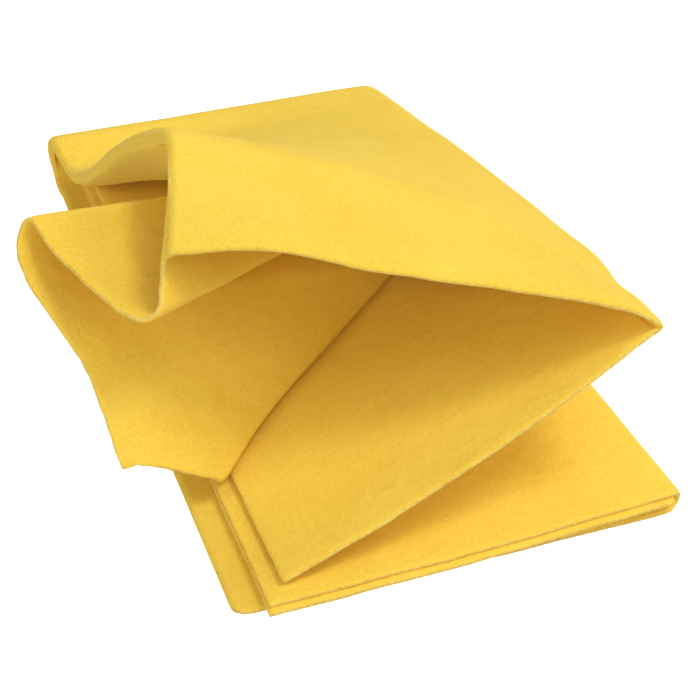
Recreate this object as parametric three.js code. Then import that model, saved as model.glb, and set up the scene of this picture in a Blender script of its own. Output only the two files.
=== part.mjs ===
// Synthetic chamois cloth: one cut sheet of needle felt, folded to an eighth, with the upper
// half of the pack pulled open at the front. Millimetres, +Z up, origin at the middle of the
// underside. X runs along the front edge, Y from the front edge to the back fold.
import * as THREE from 'three';

// Driving dimensions of the folded cloth
const SHEET_THICKNESS = 1.45;
const LAYER_CLEARANCE = 0.3;
const PACK_WIDTH = 105;
const PACK_DEPTH = 190;
const RAW_EDGE_STEP = 8;
const BASE_FRONT_STEP = 4;
const LAYER_SHIFT = 1.2;

// Driving heights of the open mouth above the table
const FOLD_FRONT_HEIGHT = 49.5;
const FOLD_BACK_HEIGHT = 17.5;
const CORNER_HEIGHT = 70;
const CREST_HEIGHT = 81;
const SLOPE_HEIGHT = 50;
const DIP_HEIGHT = 24;
const REAR_LEFT_HEIGHT = 19;
const TROUGH_HEIGHT = 57;
const TIP_HEIGHT = 66;

// Driving distances of the open mouth in plan
const FOLD_SHIFT = 8;
const FOLD_SETBACK = 6.5;
const FOLD_BACK_INSET = 5;
const INNER_CORNER_INSET = 4;
const INNER_FRONT_SETBACK = 3;
const INNER_BACK_SETBACK = 4;
const CORNER_INSET = 1;
const CORNER_SETBACK = 35;
const CREST_INSET = 9;
const CREST_SETBACK = 65;
const SLOPE_INSET = 7;
const SLOPE_RUN = 45;
const DIP_INSET = 5;
const DIP_SETBACK = 40;
const REAR_INSET = 2;
const REAR_SETBACK = 6.5;
const TROUGH_REACH = 4;
const TIP_REACH = 21;
const TIP_SETBACK = 65;
const FLAP_REACH = 1;
const FLAP_SETBACK = 31;

// Driving shape of the rounded drop behind the top panel
const DROP_START = 5.5;
const DROP_SHOULDER_SETBACK = 2.2;
const DROP_SHOULDER_FALL = 1.3;
const DROP_HOLLOW = 0.2;

// Driving runs of the tongue: where each station of a rail lies, seen from the rail's front end
const TROUGH_RUN = [[0, 0, 0], [16, 11, -3], [32, 22, -6], [60, 50, -19]];
const RIDGE_RUN = [[0, 0, 0], [16, 6, -4.2], [32, 13, -9], [58, 32, -22]];
const RIDGE_TURN = [-1.9, -0.3, -3.1];

// Driving slack of the panels between their edges
const FOLD_BOW = 2.5;
const TOP_BULGE = 4.5;
const INNER_SAG = 2;
const MIDDLE_SAG = 11;
const FLAP_BULGE = 13;
const FLAP_STAND = 5;

const CLOTH_COLOUR = 0xf3cf5e;
const CLOTH_ROUGHNESS = 0.95;

// Values that follow from the driving dimensions
const half = SHEET_THICKNESS / 2;
const pitch = SHEET_THICKNESS + LAYER_CLEARANCE;
const left = -PACK_WIDTH / 2;
const right = PACK_WIDTH / 2;
const front = -PACK_DEPTH / 2;
const back = PACK_DEPTH / 2;
const rawLeft = left + RAW_EDGE_STEP;
const layerHeight = (layer) => half + layer * pitch;
const pileTop = layerHeight(3) + half;
const parting = pileTop + LAYER_CLEARANCE / 2;
const innerRest = pileTop + LAYER_CLEARANCE + half;
const backRadius = parting - half;
const layerEnd = back - half - backRadius;

const cloth = new THREE.Group();
const point = (x, y, z) => new THREE.Vector3(x, y, z);
const mix = (from, to, share) => from.clone().lerp(to, share);
const { lerp } = THREE.MathUtils;

function addPanel(name, geometry) {
  const material = new THREE.MeshStandardMaterial({ color: CLOTH_COLOUR, roughness: CLOTH_ROUGHNESS, metalness: 0 });
  const panel = new THREE.Mesh(geometry, material);
  panel.name = name;
  cloth.add(panel);
}

// Lower half of the pack: four flat layers, each drawn end-on and extruded from front to back
const rightNose = { x: right - half - 1.5 * pitch, z: layerHeight(1.5) };
const leftNose = { x: left + half + 0.5 * pitch, z: layerHeight(0.5) };

// A flat layer that ends in a round fold, from the lower arm of the fold to the flat's far end
function foldedLayer(nose, radius, side, flatHeight, flatEnd) {
  const shape = new THREE.Shape();
  const clockwise = side < 0;
  const turn = Math.PI / 2;
  shape.absarc(nose.x, nose.z, radius + half, -turn, turn, clockwise);
  shape.lineTo(flatEnd, flatHeight + half);
  shape.lineTo(flatEnd, flatHeight - half);
  shape.absarc(nose.x, nose.z, radius - half, turn, -turn, !clockwise);
  shape.closePath();
  return shape;
}

function flatLayer(from, to, height) {
  const shape = new THREE.Shape();
  shape.moveTo(from, height - half);
  shape.lineTo(to, height - half);
  shape.lineTo(to, height + half);
  shape.lineTo(from, height + half);
  shape.closePath();
  return shape;
}

function alongDepth(shape, from, to) {
  const geometry = new THREE.ExtrudeGeometry(shape, { depth: to - from, bevelEnabled: false, curveSegments: 8 });
  geometry.rotateX(Math.PI / 2);
  geometry.translate(0, to, 0);
  return geometry;
}

const setBackFront = front + BASE_FRONT_STEP;
const bottomLayer = flatLayer(leftNose.x + LAYER_CLEARANCE, rightNose.x - LAYER_CLEARANCE, layerHeight(0));
const leftFoldLayer = foldedLayer(leftNose, pitch / 2, -1, layerHeight(1), rightNose.x - LAYER_CLEARANCE);
const tuckedLayer = foldedLayer(rightNose, pitch / 2, 1, layerHeight(2), rawLeft - LAYER_SHIFT);
const rightFoldLayer = foldedLayer(rightNose, 1.5 * pitch, 1, layerHeight(3), rawLeft);
addPanel('base_panel', alongDepth(bottomLayer, setBackFront, layerEnd));
addPanel('base_fold_panel', alongDepth(leftFoldLayer, setBackFront, layerEnd));
addPanel('base_tucked_panel', alongDepth(tuckedLayer, front, layerEnd));
addPanel('base_top_panel', alongDepth(rightFoldLayer, front + LAYER_SHIFT / 2, layerEnd));

// Upper half of the pack: thin curved sheets lofted through rails that run from front to back
const railPoint = (points, share) =>
  new THREE.CatmullRomCurve3(points, false, 'catmullrom', 0.5).getPoint(share);

// Middle surface of a sheet: u runs across the rails, v along them
const railSurface = (rails) => (u, v) => railPoint(rails.map((rail) => railPoint(rail, v)), u);

function surfaceNormal(surface, u, v) {
  const step = 1e-3;
  const across = surface(Math.min(u + step, 1), v).sub(surface(Math.max(u - step, 0), v));
  const along = surface(u, Math.min(v + step, 1)).sub(surface(u, Math.max(v - step, 0)));
  return across.cross(along).normalize();
}

const lift = (surface, distance) => (u, v) =>
  surface(u, v).addScaledVector(surfaceNormal(surface, u, v), distance);

const patch = (surface, uFrom, uTo, vFrom, vTo) => (u, v) => surface(lerp(uFrom, uTo, u), lerp(vFrom, vTo, v));

// Closed sheet of the cloth's thickness about a middle surface
function sheetGeometry(surface, cellsAcross, cellsAlong) {
  const columns = cellsAcross + 1;
  const rows = cellsAlong + 1;
  const positions = [];
  for (const face of [lift(surface, half), lift(surface, -half)]) {
    for (let row = 0; row < rows; row += 1) {
      for (let column = 0; column < columns; column += 1) {
        positions.push(...face(column / cellsAcross, row / cellsAlong).toArray());
      }
    }
  }
  const upper = (column, row) => row * columns + column;
  const lower = (column, row) => rows * columns + upper(column, row);
  const indices = [];
  const quad = (a, b, c, d) => indices.push(a, b, c, a, c, d);
  for (let row = 0; row < cellsAlong; row += 1) {
    const next = row + 1;
    for (let column = 0; column < cellsAcross; column += 1) {
      const beside = column + 1;
      quad(upper(column, row), upper(beside, row), upper(beside, next), upper(column, next));
      quad(lower(column, row), lower(column, next), lower(beside, next), lower(beside, row));
    }
    quad(upper(0, row), upper(0, next), lower(0, next), lower(0, row));
    quad(upper(cellsAcross, row), lower(cellsAcross, row), lower(cellsAcross, next), upper(cellsAcross, next));
  }
  for (let column = 0; column < cellsAcross; column += 1) {
    const beside = column + 1;
    quad(upper(column, 0), lower(column, 0), lower(beside, 0), upper(beside, 0));
    quad(upper(column, cellsAlong), upper(beside, cellsAlong), lower(beside, cellsAlong), lower(column, cellsAlong));
  }
  const geometry = new THREE.BufferGeometry();
  geometry.setAttribute('position', new THREE.Float32BufferAttribute(positions, 3));
  geometry.setIndex(indices);
  return geometry;
}

// Rails side by side between two edges, each station moved off the straight line by a slack
const railsBetween = (edgeA, edgeB, shares, slack) =>
  shares.map((share) => edgeA.map((start, station) =>
    mix(start, edgeB[station], share).add(slack(share, station / (edgeA.length - 1)))));

// Inner panel: the floor of the mouth, from its raw left edge up to the right fold
const quarters = [0, 0.25, 0.5, 0.75, 1];
const panelShares = [0, 0.3, 0.65, 1];
const foldFront = point(right - FOLD_SHIFT, front + FOLD_SETBACK, FOLD_FRONT_HEIGHT - pitch / 2);
const foldBack = point(right - half - FOLD_BACK_INSET, back - REAR_SETBACK, innerRest + pitch);
const innerFrontLeft =
  point(rawLeft + INNER_CORNER_INSET, front + INNER_FRONT_SETBACK, innerRest + LAYER_CLEARANCE);
const innerBackLeft = point(rawLeft, back - INNER_BACK_SETBACK, innerRest);
const innerRails = railsBetween(
  quarters.map((share) => mix(innerFrontLeft, innerBackLeft, share)),
  quarters.map((share) => mix(foldFront, foldBack, share)),
  panelShares,
  (share, along) => point(0, 0, -INNER_SAG * Math.sin(Math.PI * share) * (1 - along)));
const innerSurface = railSurface(innerRails);
const aboveInner = (u, v, height) => lift(innerSurface, height)(u, v);
addPanel('inner_panel', sheetGeometry(innerSurface, 14, 18));

// Top panel: from the right fold over the mouth to the folded left edge
const topFoldFront = foldFront.clone().setZ(FOLD_FRONT_HEIGHT + pitch / 2);
const topFoldBack = foldBack.clone().setZ(FOLD_BACK_HEIGHT);
const topLeftRail = [
  point(left + CORNER_INSET, front + CORNER_SETBACK, CORNER_HEIGHT),
  point(left + CREST_INSET, front + CREST_SETBACK, CREST_HEIGHT),
  point(left + SLOPE_INSET, front + CREST_SETBACK + SLOPE_RUN, SLOPE_HEIGHT),
  point(left + DIP_INSET, back - DIP_SETBACK, DIP_HEIGHT),
  point(left + REAR_INSET, back - REAR_SETBACK, REAR_LEFT_HEIGHT),
];
const topFold = (share) =>
  mix(topFoldFront, topFoldBack, share).add(point(0, 0, FOLD_BOW * Math.sin(Math.PI * share)));
const topRails = railsBetween(
  quarters.map(topFold),
  topLeftRail,
  panelShares,
  (share, along) => point(0, 0, TOP_BULGE * Math.sin(Math.PI * share) * (1 - along)));
const topSurface = railSurface(topRails);
addPanel('top_panel', sheetGeometry(topSurface, 16, 26));

// Right fold: the round nose that joins the inner panel to the top panel
function rightFoldSurface(u, v) {
  const lower = mix(foldFront, foldBack, v);
  const upper = topSurface(0, v);
  const centre = mix(lower, upper, 0.5);
  const radius = (upper.z - lower.z) / 2;
  centre.x += 2 * LAYER_CLEARANCE + radius * Math.sin(Math.PI * u);
  centre.z -= radius * Math.cos(Math.PI * u);
  return centre;
}
addPanel('right_fold', sheetGeometry(rightFoldSurface, 6, 14));

// Left fold: the round nose along the left edge of the top panel, turned under by one layer
const leftEdge = (v) => topSurface(1, v);
const leftEdgeUp = (v) => surfaceNormal(topSurface, 1, v).negate();
const leftEdgeOut = (v) => topSurface(1, v).sub(topSurface(0.99, v)).normalize();
const underLeftEdge = (v, drop) => leftEdge(v).addScaledVector(leftEdgeUp(v), -drop);
function leftFoldSurface(u, v) {
  const radius = pitch / 2;
  const reach = LAYER_CLEARANCE + radius * Math.sin(Math.PI * u);
  return underLeftEdge(v, radius * (1 - Math.cos(Math.PI * u))).addScaledVector(leftEdgeOut(v), reach);
}
addPanel('left_fold', sheetGeometry((u, v) => leftFoldSurface(1 - u, v), 6, 26));

// Back fold: the outermost layer turns up behind the pack, in two halves that meet at the parting
const turnedUp = (x) => (share) => {
  const angle = (Math.PI / 2) * share;
  return point(x, layerEnd + LAYER_CLEARANCE + (backRadius - LAYER_CLEARANCE) * Math.sin(angle),
    half + backRadius * (1 - Math.cos(angle)) - LAYER_CLEARANCE * share);
};
const lowerBackRails = [leftNose.x, rightNose.x].map((x) => panelShares.map(turnedUp(x)));
addPanel('back_fold_lower', sheetGeometry(railSurface(lowerBackRails), 4, 9));
const turnedDown = (x, height) => [
  point(x, back - DROP_START, height),
  point(x, back - DROP_SHOULDER_SETBACK, height - DROP_SHOULDER_FALL),
  point(x, back - half - DROP_HOLLOW, lerp(height, parting, 0.5)),
  point(x, back - half, parting + LAYER_CLEARANCE),
];
const upperBackRails = [
  turnedDown(left + REAR_INSET, REAR_LEFT_HEIGHT),
  turnedDown(right - REAR_INSET, FOLD_BACK_HEIGHT),
];
addPanel('back_fold_upper', sheetGeometry(railSurface(upperBackRails), 4, 9));

// Middle panel: hangs from the left fold behind the mouth and lies down towards the right
const middleStations = [0.52, 0.67, 0.83, 0.98];
const middleRails = railsBetween(
  middleStations.map((v) => underLeftEdge(v, pitch + 3 * LAYER_CLEARANCE)),
  middleStations.map((v) => aboveInner(0.88, v, 2 * pitch + LAYER_CLEARANCE)),
  panelShares,
  (share, along) => point(0, 0, -MIDDLE_SAG * Math.sin(Math.PI * share) * (1 - along) ** 2));
addPanel('middle_panel', sheetGeometry(railSurface(middleRails), 10, 14));

// Tucked panel: the inmost layer, flat on the inner panel at the back of the mouth
const tuckedPatch = patch(innerSurface, 0.03, 0.86, 0.56, 0.98);
addPanel('tucked_panel', sheetGeometry(lift(tuckedPatch, pitch), 8, 8));

// Tongue: from under the corner of the top panel down into a trough and out to a rounded ridge
const wallDrop = 2 * pitch - LAYER_CLEARANCE;
const wallTop = [0, 0.08, 0.16, 0.24].map((v) => underLeftEdge(v, wallDrop));
const runFrom = (start, run) => run.map((step) => start.clone().add(point(...step)));
const trough = runFrom(point(left - TROUGH_REACH, front + CORNER_SETBACK, TROUGH_HEIGHT), TROUGH_RUN);
const ridge = runFrom(point(left - TIP_REACH, front + TIP_SETBACK, TIP_HEIGHT), RIDGE_RUN);
const ridgeTurn = point(...RIDGE_TURN);
const pastRidge = ridge.map((place) => place.clone().add(ridgeTurn));
const tongueRails = [
  wallTop,
  trough,
  ...railsBetween(trough, ridge, [0.35, 0.7], () => point(0, 0, 0)),
  ridge,
  pastRidge,
];
addPanel('tongue_panel', sheetGeometry(railSurface(tongueRails), 20, 10));

// Flap: hangs from the ridge, bulges out to the left and comes to rest over the inner panel
const flapTop = pastRidge.map((place) => place.clone().add(ridgeTurn.clone().setLength(half + 2 * LAYER_CLEARANCE)));
const flapFoot = [
  point(rawLeft - FLAP_REACH, front + FLAP_SETBACK, innerRest + FLAP_STAND + LAYER_CLEARANCE),
  aboveInner(0.14, 0.225, FLAP_STAND),
  aboveInner(0.37, 0.31, FLAP_STAND),
  aboveInner(0.66, 0.43, FLAP_STAND),
];
const flapShares = [0, 0.27, 0.54, 0.74, 0.85, 1];
const flapBow = [0, 0.3, 0.62, 1, 0.5, 0];
const flapRails = railsBetween(flapTop, flapFoot, flapShares, (share, along) =>
  point(-0.97, -0.36, -0.37).multiplyScalar(FLAP_BULGE * flapBow[flapShares.indexOf(share)] * (1 - 0.5 * along)));
const flapSurface = railSurface(flapRails);
addPanel('flap_panel', sheetGeometry(flapSurface, 16, 10));

// Flap backing: the last layer, close behind the flap on its outer side
const backingPatch = patch(flapSurface, 0.3, 0.94, 0.05, 0.97);
addPanel('flap_backing', sheetGeometry(lift(backingPatch, -pitch - LAYER_CLEARANCE), 12, 9));

export default cloth;
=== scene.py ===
from bisect import bisect
from math import cos, exp, pi, radians, sin

import bmesh
import bpy
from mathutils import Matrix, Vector, noise


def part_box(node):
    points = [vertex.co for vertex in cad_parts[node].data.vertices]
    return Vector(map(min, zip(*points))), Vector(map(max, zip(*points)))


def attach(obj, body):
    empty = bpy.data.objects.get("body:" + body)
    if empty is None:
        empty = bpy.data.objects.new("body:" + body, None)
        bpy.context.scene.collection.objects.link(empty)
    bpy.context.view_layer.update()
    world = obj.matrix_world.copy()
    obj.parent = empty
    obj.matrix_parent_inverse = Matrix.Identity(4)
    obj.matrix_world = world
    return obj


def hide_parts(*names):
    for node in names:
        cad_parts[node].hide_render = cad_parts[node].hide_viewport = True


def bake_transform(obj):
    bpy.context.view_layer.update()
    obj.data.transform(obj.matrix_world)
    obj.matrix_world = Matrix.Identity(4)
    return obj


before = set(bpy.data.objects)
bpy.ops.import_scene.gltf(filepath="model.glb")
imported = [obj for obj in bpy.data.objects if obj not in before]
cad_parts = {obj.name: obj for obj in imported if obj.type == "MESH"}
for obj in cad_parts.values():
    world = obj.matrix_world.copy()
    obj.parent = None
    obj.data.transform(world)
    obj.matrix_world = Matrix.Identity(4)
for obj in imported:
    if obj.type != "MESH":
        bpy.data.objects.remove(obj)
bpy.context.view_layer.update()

# Lower pack: the half of the cloth that lies on the table, folded across into four layers.
# It is needle felt cut from the roll, raw at the front and left, and its back turns up round
# the back fold, where it runs on into the layers of the upper half.
mm = 0.001
crinkle_depth = 0.8 * mm


def mix(start, end, share):
    return start + (end - start) * share


def ease(share):
    share = min(max(share, 0.0), 1.0)
    return share * share * (3 - 2 * share)


def felt_surface(name, light, deep, fibre_depth):
    material = bpy.data.materials.new(name)
    material.use_nodes = True
    nodes = material.node_tree.nodes
    links = material.node_tree.links
    shader = nodes["Principled BSDF"]
    shader.inputs["Roughness"].default_value = 0.95
    shader.inputs["Specular IOR Level"].default_value = 0.15
    shader.inputs["Sheen Weight"].default_value = 0.03
    shader.inputs["Sheen Roughness"].default_value = 0.6
    place = nodes.new("ShaderNodeTexCoord")

    def speckle(scale, detail, stretch=(1, 1, 1), turn=(0, 0, 0), kind="FBM"):
        mapping = nodes.new("ShaderNodeMapping")
        mapping.inputs["Scale"].default_value = stretch
        mapping.inputs["Rotation"].default_value = turn
        links.new(place.outputs["Object"], mapping.inputs["Vector"])
        pattern = nodes.new("ShaderNodeTexNoise")
        pattern.noise_type = kind
        pattern.inputs["Scale"].default_value = scale
        pattern.inputs["Detail"].default_value = detail
        links.new(mapping.outputs["Vector"], pattern.inputs["Vector"])
        return pattern.outputs["Fac"]

    def blended(first, second, share):
        node = nodes.new("ShaderNodeMix")
        node.inputs["Factor"].default_value = share
        links.new(first, node.inputs["A"])
        links.new(second, node.inputs["B"])
        return node.outputs["Result"]

    def raised(height, strength, depth, under=None):
        bump = nodes.new("ShaderNodeBump")
        bump.inputs["Strength"].default_value = strength
        bump.inputs["Distance"].default_value = depth
        links.new(height, bump.inputs["Height"])
        if under:
            links.new(under, bump.inputs["Normal"])
        return bump.outputs["Normal"]

    cloud = speckle(scale=45, detail=4)
    grain = speckle(scale=1300, detail=5)
    tint = nodes.new("ShaderNodeValToRGB")
    deep_end, light_end = tint.color_ramp.elements
    deep_end.position = 0.38
    deep_end.color = (*deep, 1)
    light_end.position = 0.6
    light_end.color = (*light, 1)
    links.new(blended(cloud, grain, share=0.65), tint.inputs["Fac"])
    links.new(tint.outputs["Color"], shader.inputs["Base Color"])
    fibres = blended(
        speckle(scale=420, detail=2, stretch=(1, 6, 3), turn=(0.3, 0.2, 0.6)),
        speckle(scale=420, detail=2, stretch=(6, 1, 3), turn=(0.2, 0.5, -0.4)),
        share=0.5,
    )
    creases = speckle(
        scale=150, detail=3, stretch=(1, 1.4, 1.2), turn=(0.1, 0.3, 0.5), kind="RIDGED_MULTIFRACTAL"
    )
    creased_patches = speckle(scale=30, detail=2)
    crinkle = nodes.new("ShaderNodeMath")
    crinkle.operation = "MULTIPLY"
    links.new(creases, crinkle.inputs[0])
    links.new(creased_patches, crinkle.inputs[1])
    crinkled = raised(crinkle.outputs["Value"], strength=1, depth=crinkle_depth)
    nap = blended(fibres, grain, share=0.5)
    links.new(raised(nap, strength=0.7, depth=fibre_depth, under=crinkled), shader.inputs["Normal"])
    return material


felt = felt_surface(
    "yellow_felt", light=(0.96, 0.665, 0.085), deep=(0.89, 0.59, 0.06), fibre_depth=0.35 * mm
)
cut_edge = felt_surface(
    "cut_felt_edge", light=(0.94, 0.67, 0.15), deep=(0.78, 0.5, 0.07), fibre_depth=0.5 * mm
)
wave_length = 30
wave_height = 0.3
ripple_length = 9
ripple_height = 0.1
fray_length = 2.3
fray_height = 0.25
raw_edge_share = 0.62
rim_crease = 0.8
wave_seed = 7
noise.seed_set(wave_seed)


def wander(spot, length, height):
    return height * noise.noise_vector(spot / length)


def sheet_shares(spot):
    return spot.x + 0.5, spot.y + 0.5


def felt_sheet(name, across, along, place, cut_away=None, joined=None):
    shape = bmesh.new()
    bmesh.ops.create_grid(shape, x_segments=across, y_segments=along, size=0.5)
    if cut_away:
        away = [face for face in shape.faces if cut_away(*sheet_shares(face.calc_center_median()))]
        bmesh.ops.delete(shape, geom=away, context="FACES")
    for face in shape.faces:
        face.smooth = True
    fullness = []
    for vert in shape.verts:
        u, v = sheet_shares(vert.co)
        raw = vert.is_boundary and not (joined and joined(u, v))
        spot = place(u, v)
        spot += wander(spot, wave_length, wave_height) + wander(spot, ripple_length, ripple_height)
        if raw:
            spot += wander(spot, fray_length, fray_height)
        vert.co = spot * mm
        fullness.append(raw_edge_share if raw else 1)
    mesh = bpy.data.meshes.new(name)
    shape.to_mesh(mesh)
    shape.free()
    mesh.materials.append(felt)
    mesh.materials.append(cut_edge)
    piece = bpy.data.objects.new(name, mesh)
    bpy.context.collection.objects.link(piece)
    thinned = piece.vertex_groups.new(name="fullness")
    for index, share in enumerate(fullness):
        thinned.add([index], share, "REPLACE")
    wall = piece.modifiers.new("thickness", "SOLIDIFY")
    wall.thickness = thickness * mm
    wall.vertex_group = thinned.name
    wall.offset = 0
    wall.material_offset_rim = mesh.materials.find(cut_edge.name)
    wall.edge_crease_inner = rim_crease
    wall.edge_crease_outer = rim_crease
    rounding = piece.modifiers.new("rounding", "SUBSURF")
    rounding.levels = 1
    rounding.render_levels = 1
    return piece


width_axis, depth_axis, height_axis = range(3)


def node_span(node, axis):
    lowest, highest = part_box(node)
    return lowest[axis] / mm, highest[axis] / mm


bottom_low, bottom_high = node_span("base_panel", height_axis)
thickness = bottom_high - bottom_low
half = thickness / 2
pack_left = node_span("base_fold_panel", width_axis)[0]
raw_left, pack_right = node_span("base_top_panel", width_axis)
pack_front, layer_end = node_span("base_tucked_panel", depth_axis)
pile_top = node_span("base_top_panel", height_axis)[1]
top_layer = 3
pitch = (pile_top - thickness) / top_layer
parting = pile_top + (pitch - thickness) / 2
outer_turn_radius = 1.5 * pitch
inner_turn_radius = 0.5 * pitch
right_swell = 0.6
left_setback = 1.3
turn_right = pack_right - half - outer_turn_radius + right_swell
turn_left = pack_left + half + inner_turn_radius + left_setback
flat_cells = 28
turn_cells = 8
bunching = 1.5


def layer_height(layer):
    return half + layer * pitch


def bunched(share):
    return share ** bunching


def flat(start, end, layer):
    return lambda share: (mix(start, end, share), layer_height(layer))


def flat_from_edge(edge, end, layer):
    return lambda share: (mix(edge, end, bunched(share)), layer_height(layer))


def flat_to_edge(start, edge, layer):
    return lambda share: (mix(edge, start, bunched(1 - share)), layer_height(layer))


def turn(x, layer, radius, side, rise):
    def around(share):
        angle = pi * (share - 0.5) * rise
        return x + side * radius * cos(angle), layer_height(layer) + radius * sin(angle)
    return around


# Each part of the folded section: its cells, its outline, and where its front starts and ends.
front_top = pack_front + 1.2
front_under = pack_front + 4.8
front_skew = 1
front_left = front_under + front_skew
front_second = front_under - front_skew
raw_third = raw_left - 0.3
outer_turn = turn(turn_right, layer=1.5, radius=outer_turn_radius, side=1, rise=-1)
left_turn = turn(turn_left, layer=0.5, radius=inner_turn_radius, side=-1, rise=1)
inner_turn = turn(turn_right, layer=1.5, radius=inner_turn_radius, side=1, rise=1)
bottom_face = flat(turn_right, turn_left, layer=0)
pack_section = {
    "top layer": (flat_cells, flat_from_edge(raw_left, turn_right, top_layer), front_top, front_top),
    "outer turn": (turn_cells, outer_turn, front_top, front_top),
    "bottom layer": (flat_cells, bottom_face, front_top, front_left),
    "left turn": (turn_cells, left_turn, front_left, front_second),
    "second layer": (flat_cells, flat(turn_left, turn_right, layer=1), front_second, front_under),
    "inner turn": (turn_cells, inner_turn, front_under, pack_front),
    "third layer": (flat_cells, flat_to_edge(turn_right, raw_third, layer=2), pack_front, pack_front),
}
pack_cells = sum(part[0] for part in pack_section.values())
pack_rows = 60
wrap_rows = 16
wrap_start = 1 - wrap_rows / pack_rows
seam_angle = pi / 2
seam_spread = 0.5
rear_spread = 1.9
back_flare = 0.03
back_slack_left = 7.7
back_slack_right = 7.0
tight_radius = 0.9
slack_growth = 3.4
corner_round = 3
corner_inset = 1
reach_left = 1.5
reach_right = 2
reach_bow = 0.8
lip_rise = 0.4
lip_depth = 9


def pack_stretch(u):
    cell = u * pack_cells
    for part, (cells, *_) in pack_section.items():
        if cell <= cells:
            return part, cell / cells
        cell -= cells
    return part, 1


def back_slack(x):
    return mix(back_slack_left, back_slack_right, (x - pack_left) / (pack_right - pack_left))


def around_back(x, radius, angle):
    flare = back_flare * min(x, 0) * sin(angle)
    return Vector((x + flare, layer_end + radius * sin(angle), parting - radius * cos(angle)))


def wrap_radius(x, radius, angle):
    return radius + back_slack(x) * ease((radius - tight_radius) / slack_growth) * ease(angle / pi)


def spread(x, share):
    return x - rear_spread * share * (turn_right - x) / (turn_right - turn_left)


def wrap_spread(angle):
    return mix(1, seam_spread, ease(angle / seam_angle))


def front_reach(x):
    share = min(max((x - raw_left) / (pack_right - raw_left), 0), 1)
    reach = mix(reach_left, reach_right, share) + reach_bow * sin(pi * share)
    return reach - ease((x - pack_right + corner_round) / corner_round)


def pack_point(u, v):
    part, share = pack_stretch(u)
    outline, front_start, front_end = pack_section[part][1:]
    x, z = outline(share)
    if v > wrap_start:
        angle = pi * (v - wrap_start) / (1 - wrap_start)
        x = spread(x, wrap_spread(angle))
        return around_back(x, wrap_radius(x, parting - z, angle), angle)
    start = mix(front_start, front_end, share) - front_reach(x)
    if part in ("bottom layer", "left turn", "second layer"):
        past = max(turn_left + corner_round - corner_inset - x, 0)
        start += corner_round - (corner_round ** 2 - min(past, corner_round) ** 2) ** 0.5
    y = mix(start, layer_end, bunched(v / wrap_start))
    if part == "third layer":
        z += lip_rise * ease((pack_front + lip_depth - y) / lip_depth)
    return Vector((spread(x, ease(v / wrap_start)), y, z))


def outer_turn_done(u, v):
    part, share = pack_stretch(u)
    outer = part in ("outer turn", "bottom layer") or part == "left turn" and share < 0.5
    return outer and v > mix(wrap_start, 1, seam_angle / pi)


def behind(u, v):
    return v > wrap_start


lower_pack = felt_sheet("lower_pack", pack_cells, pack_rows, pack_point, outer_turn_done, behind)
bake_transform(lower_pack)
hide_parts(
    "base_panel", "base_fold_panel", "base_tucked_panel", "base_top_panel", "back_fold_lower"
)

# Inner leaf: the floor of the open mouth, a single raw-edged layer that lies on the lower pack
# at the left and rises to the right fold.
quarters = [0, 0.25, 0.5, 0.75, 1]
panel_shares = [0, 0.3, 0.65, 1]
fold_front = Vector((44.5, -88.5, 48.2))
fold_back = Vector((47.6, layer_end, 8.6))
inner_front = Vector((-40.5, -92, 8.0))
inner_back = Vector((raw_left, layer_end, parting + pitch / 2))
inner_sag = 3
fold_zone = 0.2
corner_pull = 1.2
corner_length = 0.12
wrinkle_height = 0.8
wrinkle_hollow = 0.5
wrinkle_slant = 0.6
brink = 0.01


def curve(points, knots, share):
    last = len(points) - 1
    index = min(max(bisect(knots, share) - 1, 0), last - 1)

    def slope(at):
        before = max(at - 1, 0)
        after = min(at + 1, last)
        if before == at or after == at:
            return (points[after] - points[before]) / (knots[after] - knots[before])
        gap_in = knots[at] - knots[before]
        gap_out = knots[after] - knots[at]
        rate_in = (points[at] - points[before]) / gap_in
        rate_out = (points[after] - points[at]) / gap_out
        return (rate_in * gap_out + rate_out * gap_in) / (gap_in + gap_out)

    span = knots[index + 1] - knots[index]
    t = (share - knots[index]) / span
    bend = 3 * t ** 2 - 2 * t ** 3
    return (
        points[index] * (1 - bend)
        + points[index + 1] * bend
        + slope(index) * span * (t - 2 * t ** 2 + t ** 3)
        + slope(index + 1) * span * (t ** 3 - t ** 2)
    )


def loft(rails, across, along):
    return lambda u, v: curve([curve(rail, along, v) for rail in rails], across, u)


def facing(surface, u, v):
    step = 0.004
    across = surface(min(u + step, 1), v) - surface(max(u - step, 0), v)
    along = surface(u, min(v + step, 1)) - surface(u, max(v - step, 0))
    return across.cross(along).normalized()


def rails_between(edge_a, edge_b, shares, stations, slack):
    return [
        [mix(a, b, share) + slack(share, along) for a, b, along in zip(edge_a, edge_b, stations)]
        for share in shares
    ]


def sagging(depth):
    return lambda share, along: Vector((0, 0, -depth * sin(pi * share) * (1 - along)))


def hump(along, centre, width):
    return exp(-(((along - centre) / width) ** 2))


def fold_pull(v):
    corner = corner_pull * ease(1 - v / corner_length)
    raised = wrinkle_height * hump(v, centre=0.11, width=0.035)
    sunk = wrinkle_hollow * hump(v, centre=0.2, width=0.04)
    wrinkle = raised - sunk
    return Vector((-corner - wrinkle_slant * wrinkle, 0, -wrinkle))


inner_rails = rails_between(
    [mix(inner_front, inner_back, along) for along in quarters],
    [mix(fold_front, fold_back, along) for along in quarters],
    panel_shares,
    quarters,
    sagging(inner_sag),
)
inner_sheet = loft(inner_rails, panel_shares, quarters)


def inner_surface(u, v):
    return inner_sheet(u, v) + fold_pull(v) * ease((u - (1 - fold_zone)) / fold_zone)


def above_inner(u, v, height):
    return inner_surface(u, v) + facing(inner_surface, u, v) * height


def at_right_fold(u, v):
    return u > 1 - brink


inner_leaf = felt_sheet("inner_leaf", across=48, along=88, place=inner_surface, joined=at_right_fold)
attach(inner_leaf, "upper_pack")
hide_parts("inner_panel")

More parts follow.
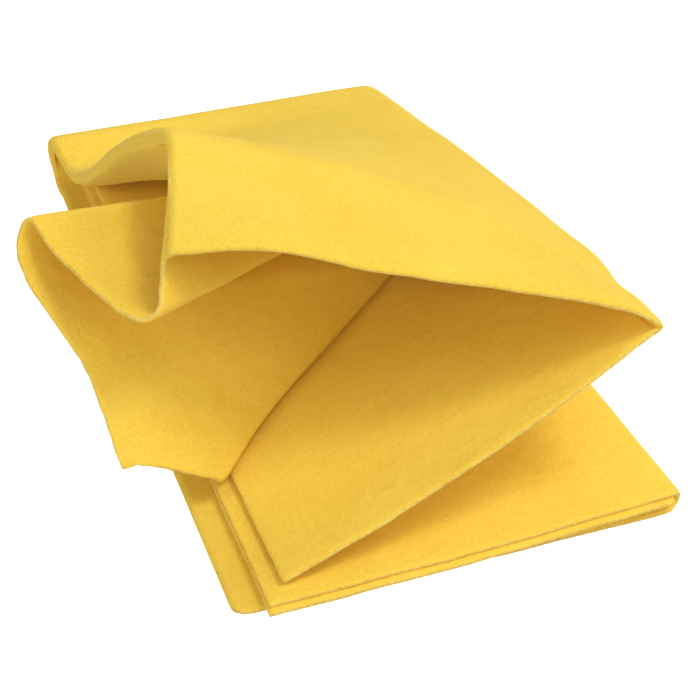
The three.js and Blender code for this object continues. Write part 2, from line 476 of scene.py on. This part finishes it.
# Top leaf: the large upper face. It turns out of the inner leaf at the right fold, swells over
# the mouth, ends at the left in a rounded fold, and at the back turns down behind the pack.
top_shares = [0, 0.05, 0.12, 0.3, 0.6, 0.85, 1]
front_lift = {0: 0, 0.05: 1.5, 0.12: 1.5, 0.3: 0.1, 0.6: -0.3, 0.85: 2.9, 1: 1.2}
lift_fade = 5
top_swell = 4.5
top_left_rail = [
    Vector((-49.2, -60, 70)),
    Vector((-43.8, -41.6, 76.3)),
    Vector((-41.3, -31, 80.2)),
    Vector((-41.6, -21.4, 76.5)),
    Vector((-42.8, -5.7, 68)),
    Vector((-45, 22.2, 50.3)),
    Vector((-47, 47.3, 32.1)),
    Vector((-48.3, 63, 22.6)),
    Vector((-49.6, 77, 16.4)),
    Vector((-51.5, layer_end, 20.6)),
]
top_stations = [0, 0.125, 0.195, 0.26, 0.367, 0.555, 0.725, 0.83, 0.925, 1]
top_fold_front = Vector((44.5, -88.5, 50))
top_fold_back = Vector((46.8, layer_end, 20))
fold_bow = 2.6
rear_bow_share = 0.6
bow_fade_start = 0.5
bow_fade_length = 0.35
curl = Vector((0, 0.5, -1.2))
curl_length = 0.025
curl_start = 0.12
front_turned = radians(60)
turned_length = 0.3
nose_radius = 1.35
rear_nose_radius = 1.8
rear_nose_start = 0.85
rear_nose_length = 0.15
right_lap_start = 0.985
right_lap_depth = 0.05
lap_gap = 0.06
lap_angle = seam_angle - 0.12
top_cells = 46
top_columns = top_cells + 2 * turn_cells
top_rows = 96
top_wrap_rows = 12
top_wrap_start = 1 - top_wrap_rows / top_rows


def top_fold(v):
    bow_share = mix(1, rear_bow_share, ease((v - bow_fade_start) / bow_fade_length))
    return mix(top_fold_front, top_fold_back, v) + Vector((0, 0, fold_bow * sin(pi * v) * bow_share))


def top_slack(share, along):
    swell = top_swell * sin(pi * share) * (1 - along)
    return Vector((0, 0, swell + front_lift[share] * ease(1 - along * lift_fade)))


top_rails = rails_between(
    [top_fold(along) for along in top_stations], top_left_rail, top_shares, top_stations, top_slack
)
top_sheet = loft(top_rails, top_shares, top_stations)


def front_curl(v):
    return curl * max(1 - v / curl_length, 0) ** 2


def top_surface(u, v):
    return top_sheet(u, v) + fold_pull(v) * ease(1 - u / fold_zone) + front_curl(v) * ease(u / curl_start)


def right_nose(share, v):
    lower = inner_surface(1, v)
    upper = top_surface(0, v)
    reach = (upper - lower).length * 2 / 3
    out_lower = (lower - inner_surface(1 - brink, v)).normalized() * reach
    out_upper = (upper - top_surface(brink, v)).normalized() * reach
    rest = 1 - share
    return (
        lower * rest ** 3
        + (lower + out_lower) * 3 * rest ** 2 * share
        + (upper + out_upper) * 3 * rest * share ** 2
        + upper * share ** 3
    )


def rolled(edge, out, under, radius, angle):
    return edge + out * radius * sin(angle) + under * radius * (1 - cos(angle))


def left_nose(share, v, outside=0):
    edge = top_surface(1, v)
    out = (edge - top_surface(1 - brink, v)).normalized()
    under = facing(top_surface, 1, v)
    turned = mix(front_turned, pi, ease(v / turned_length))
    radius = mix(nose_radius, rear_nose_radius, ease((v - rear_nose_start) / rear_nose_length))
    return rolled(edge - under * outside, out, under, radius + outside, share * turned)


def right_lap(share, v):
    return above_inner(mix(right_lap_start, 1, share), v, -right_lap_depth)


def top_section(cell, v):
    if cell < 1:
        return right_lap(cell, v)
    if cell < turn_cells:
        return right_nose((cell - 1) / (turn_cells - 1), v)
    if cell > turn_cells + top_cells:
        return left_nose((cell - turn_cells - top_cells) / turn_cells, v)
    return top_surface((cell - turn_cells) / top_cells, v)


def pack_outer(cell):
    if cell < turn_cells:
        return outer_turn(cell / turn_cells)
    if cell > turn_cells + top_cells:
        return left_turn((cell - turn_cells - top_cells) / turn_cells)
    return bottom_face((cell - turn_cells) / top_cells)


def top_point(u, v):
    cell = u * top_columns
    if v <= top_wrap_start:
        return top_section(cell, v / top_wrap_start)
    share = (v - top_wrap_start) / (1 - top_wrap_start)
    end = top_section(cell, 1)
    x, z = pack_outer(cell)
    x = spread(x, wrap_spread(lap_angle))
    radius = wrap_radius(x, parting - z, lap_angle) + lap_gap
    return around_back(
        mix(end.x, x, share),
        mix(end.z - parting, radius, share),
        mix(pi, lap_angle, share),
    )


def top_joined(u, v):
    return v > top_wrap_start or u < brink


top_leaf = felt_sheet("top_leaf", top_columns, top_rows, top_point, joined=top_joined)
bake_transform(top_leaf)
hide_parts("top_panel", "right_fold", "left_fold", "back_fold_upper")

# Tucked layer: the inmost of the upper four, one layer of the same felt. It lies flat on the
# inner leaf, at the back of the mouth.
layer_reach = 0.88
tucked_start = 0.45


def tucked_point(u, v):
    return above_inner(layer_reach * u, mix(tucked_start, 1, v), pitch)


tucked = felt_sheet("tucked_layer", across=40, along=40, place=tucked_point)
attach(tucked, "upper_pack")
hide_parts("tucked_panel")

# Middle layer: turns under from the left fold of the top leaf and sinks to the right, behind
# the mouth, until it lies on the tucked layer.
middle_stations = [0.25, 0.5, 0.68, 0.8, 0.88, 0.925, 0.96, 1]
middle_start = middle_stations[0]
middle_gap = 0.3
middle_sag = 11
sag_fade = 0.7
nose_laps = (0.55, 0.7, 0.85)


def chord_shares(rails):
    reached = [0]
    for before, after in zip(rails, rails[1:]):
        reached.append(reached[-1] + (after[0] - before[0]).length)
    return [length / reached[-1] for length in reached]


def nose_rails(stations):
    return [[left_nose(lap, v, lap_gap) for v in stations] for lap in nose_laps]


def middle_slack(share, along):
    return Vector((0, 0, -middle_sag * sin(pi * share) * ((1 - along) / sag_fade) ** 2))


middle_rails = nose_rails(middle_stations) + rails_between(
    [left_nose(1, v, lap_gap) for v in middle_stations],
    [above_inner(layer_reach, v, 2 * pitch + middle_gap) for v in middle_stations],
    panel_shares,
    middle_stations,
    middle_slack,
)
middle_knots = [(v - middle_start) / (1 - middle_start) for v in middle_stations]
middle_surface = loft(middle_rails, chord_shares(middle_rails), middle_knots)


def at_left_fold(u, v):
    return u < brink


middle = felt_sheet("middle_layer", across=72, along=64, place=middle_surface, joined=at_left_fold)
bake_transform(middle)
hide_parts("middle_panel")

# Mouth wall: the front of the middle layer, which hangs from the left fold of the top leaf down
# into a round trough. Beyond the trough the same felt runs on as the side flap.
side_knots = [0, 0.25, 0.5, 1]
wall_stations = [0, 0.09, 0.18, 0.3]
wall_lead = 2.5
nose_tail = 0.95
wall_top = [left_nose(1, v, lap_gap) for v in wall_stations]
wall_hang = [(left_nose(1, v) - left_nose(nose_tail, v)).normalized() for v in wall_stations]
wall_upper = [spot + hang * wall_lead for spot, hang in zip(wall_top, wall_hang)]
trough_right = [
    Vector((-54.6, -61, 59.2)),
    Vector((-38.9, -49.3, 55.3)),
    Vector((-23.4, -38, 52)),
    Vector((4.2, -10, 39)),
]
trough = [
    Vector((-57.2, -60.5, 57.2)),
    Vector((-41, -48.6, 53.7)),
    Vector((-25, -37.5, 50.7)),
    Vector((3, -9.5, 37.7)),
]
trough_left = [
    Vector((-60.2, -57, 57.3)),
    Vector((-44.3, -45.6, 54)),
    Vector((-28.3, -34.6, 50.7)),
    Vector((0, -7, 38)),
]
wall_middle = [mix(top, foot, 0.5) for top, foot in zip(wall_upper, trough_right)]
ridge = [
    Vector((-74, -29.8, 65.9)),
    Vector((-57.5, -24, 61.8)),
    Vector((-41.5, -17, 57)),
    Vector((-15.5, 2, 44)),
]
ridge_turn = Vector((-1.9, -0.3, -3.1))
past_ridge = [spot + ridge_turn for spot in ridge]
tongue_shares = [0.35, 0.7]
tongue_sag = 1.3
tongue_rails = rails_between(trough_left, ridge, tongue_shares, side_knots, sagging(tongue_sag))
flap_left = [
    Vector((-76.8, -33, 60)),
    Vector((-76.1, -35.8, 55.6)),
    Vector((-74.2, -38.9, 51.2)),
    Vector((-72.1, -41.8, 47.1)),
    Vector((-68.8, -47.4, 40.3)),
    Vector((-67.1, -53, 32.8)),
]
flap_right = [
    Vector((-8, -2, 39)),
    Vector((5, -7, 34)),
    Vector((17.5, -14.2, 26.6)),
    Vector((11.5, -18.4, 25)),
    Vector((-9.5, -32.9, 20.1)),
    Vector((-26.9, -44.8, 15.4)),
]
flap_rails = [
    [mix(left, right, along) for along in side_knots] for left, right in zip(flap_left, flap_right)
]
flap_foot = [
    Vector((-65.5, -60, 19.8)),
    Vector((-60.3, -60.4, 19.4)),
    Vector((-55.2, -61.2, 17.2)),
    Vector((-44.8, -60.4, 10)),
]
wall_rails = nose_rails(wall_stations) + [wall_top, wall_upper, wall_middle, trough_right]
mouth_rails = wall_rails + [trough, trough_left, *tongue_rails, ridge, past_ridge, *flap_rails, flap_foot]
mouth_shares = chord_shares(mouth_rails)
mouth_surface = loft(mouth_rails, mouth_shares, side_knots)
wall_end = mouth_shares[mouth_rails.index(trough_right)]
wall_lap = 0.05


def wall_point(u, v):
    return mouth_surface(u * (wall_end + wall_lap), v)


wall = felt_sheet("mouth_wall", across=32, along=60, place=wall_point, joined=at_left_fold)
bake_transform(wall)

# Side flap: the same layer rises out of the trough to a pointed ridge at the left, turns over it
# and hangs down to a raw lower edge. Its slanting right edge is the next fold of the cloth.
flap_columns = 92
flap_rows = 60
flap_turn_rows = 8
flap_fold_start = 1 - flap_turn_rows / flap_rows
flap_fold_radius = 0.9
ridge_share = mouth_shares[mouth_rails.index(ridge)]
turn_growth = 0.06
least_turn = 0.05
foot_nicks = ((0.14, 0.6), (0.5, 0.3), (0.78, 0.5))
nick_width = 0.02
foot_zone = 0.03


def foot_lift(u, v):
    nicks = sum(depth * hump(v, along, nick_width) for along, depth in foot_nicks)
    return Vector((0, 0, nicks * ease((u - (1 - foot_zone)) / foot_zone)))


def flap_point(u, v):
    mouth_u = mix(wall_end, 1, u)
    if v <= flap_fold_start:
        return mouth_surface(mouth_u, v / flap_fold_start) + foot_lift(u, v)
    share = (v - flap_fold_start) / (1 - flap_fold_start)
    edge = mouth_surface(mouth_u, 1)
    out = (edge - mouth_surface(mouth_u, 1 - brink)).normalized()
    turned = max(pi * ease((mouth_u - ridge_share) / turn_growth), least_turn)
    under = -facing(mouth_surface, mouth_u, 1)
    return rolled(edge, out, under, flap_fold_radius * pi / turned, share * turned)


def turned_under(u, v):
    return v > 1 - brink


side_flap = felt_sheet("side_flap", flap_columns, flap_rows, flap_point, joined=turned_under)
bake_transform(side_flap)
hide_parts("tongue_panel", "flap_panel")

# Rear flap layer: the last layer of the cloth, cut from the same felt. It is turned under the
# flap at its slanting fold and follows the flap from behind.
rear_start = 0.1
rear_end = 0.985
rear_inset = 0.03


def rear_flap_point(u, v):
    flap_u = mix(ridge_share + rear_start, rear_end, u)
    flap_v = mix(rear_inset, 1, v)
    return mouth_surface(flap_u, flap_v) - facing(mouth_surface, flap_u, flap_v) * 2 * flap_fold_radius


rear_flap = felt_sheet("rear_flap_layer", across=40, along=44, place=rear_flap_point)
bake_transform(rear_flap)
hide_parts("flap_backing")

# Studio: a pale floor and surroundings that look plain white, soft lamps all round that light
# the open mouth as well as the top, and the camera at the photographed angle.
scene = bpy.context.scene
scene.view_settings.view_transform = "Standard"
floor_reach = 3
floor_grey = 0.8
sky_strength = 0.02
lamp_distance = 1.2
camera_azimuth = -20.456
camera_elevation = 37.646
camera_distance = 343


def white_when_seen(tree):
    path = tree.nodes.new("ShaderNodeLightPath")
    seen = path.outputs["Is Camera Ray"]
    for ray in ("Is Glossy Ray", "Is Transmission Ray"):
        either = tree.nodes.new("ShaderNodeMath")
        either.operation = "MAXIMUM"
        tree.links.new(seen, either.inputs[0])
        tree.links.new(path.outputs[ray], either.inputs[1])
        seen = either.outputs["Value"]
    return seen


floor_mesh = bpy.data.meshes.new("floor")
floor_shape = bmesh.new()
bmesh.ops.create_grid(floor_shape, x_segments=1, y_segments=1, size=floor_reach)
floor_shape.to_mesh(floor_mesh)
floor_shape.free()
floor = bpy.data.objects.new("floor", floor_mesh)
bpy.context.collection.objects.link(floor)
floor_material = bpy.data.materials.new("white_floor")
floor_material.use_nodes = True
floor_tree = floor_material.node_tree
floor_shader = floor_tree.nodes["Principled BSDF"]
floor_shader.inputs["Base Color"].default_value = (floor_grey, floor_grey, floor_grey, 1)
floor_shader.inputs["Roughness"].default_value = 1
floor_shader.inputs["Specular IOR Level"].default_value = 0
floor_shader.inputs["Emission Color"].default_value = (1, 1, 1, 1)
floor_tree.links.new(white_when_seen(floor_tree), floor_shader.inputs["Emission Strength"])
floor_mesh.materials.append(floor_material)

world = bpy.data.worlds.new("studio")
world.use_nodes = True
scene.world = world
world_tree = world.node_tree
sky = world_tree.nodes["Background"]
sky.inputs["Color"].default_value = (1, 1, 1, 1)
sky.inputs["Strength"].default_value = sky_strength
seen_sky = world_tree.nodes.new("ShaderNodeBackground")
seen_sky.inputs["Color"].default_value = (1, 1, 1, 1)
seen_sky.inputs["Strength"].default_value = 1
sky_mix = world_tree.nodes.new("ShaderNodeMixShader")
world_tree.links.new(white_when_seen(world_tree), sky_mix.inputs["Fac"])
world_tree.links.new(sky.outputs["Background"], sky_mix.inputs[1])
world_tree.links.new(seen_sky.outputs["Background"], sky_mix.inputs[2])
world_tree.links.new(sky_mix.outputs["Shader"], world_tree.nodes["World Output"].inputs["Surface"])


def heading(azimuth, elevation):
    level = cos(elevation)
    return Vector((sin(azimuth) * level, -cos(azimuth) * level, sin(elevation)))


def soft_lamp(name, azimuth, elevation, size, share):
    data = bpy.data.lights.new(name, "AREA")
    data.size = size
    data.energy = (pi * lamp_distance) ** 2 * share
    lamp = bpy.data.objects.new(name, data)
    towards = heading(radians(azimuth), radians(elevation))
    lamp.location = towards * lamp_distance
    lamp.rotation_euler = towards.to_track_quat("Z", "Y").to_euler()
    bpy.context.collection.objects.link(lamp)


soft_lamp("key", azimuth=52, elevation=64, size=0.3, share=0.34)
soft_lamp("front_top", azimuth=-5, elevation=65, size=0.5, share=0.13)
soft_lamp("right_panel", azimuth=50, elevation=25, size=0.6, share=0.27)
soft_lamp("side_panel", azimuth=88, elevation=42, size=0.6, share=0.14)
soft_lamp("left_panel", azimuth=-38, elevation=25, size=0.6, share=0.3)
soft_lamp("far_panel", azimuth=-84, elevation=32, size=0.6, share=0.2)
soft_lamp("back_panel", azimuth=162, elevation=34, size=0.6, share=0.33)

camera_data = bpy.data.cameras.new("camera")
camera_data.sensor_width = 36
camera_data.lens = 67.2
camera = bpy.data.objects.new("camera", camera_data)
bpy.context.collection.objects.link(camera)
away = heading(radians(camera_azimuth), radians(camera_elevation))
aim = Vector((3.503, -13.866, 0)) * mm
camera.location = aim + away * camera_distance * mm
camera.rotation_euler = away.to_track_quat("Z", "Y").to_euler()
scene.camera = camera
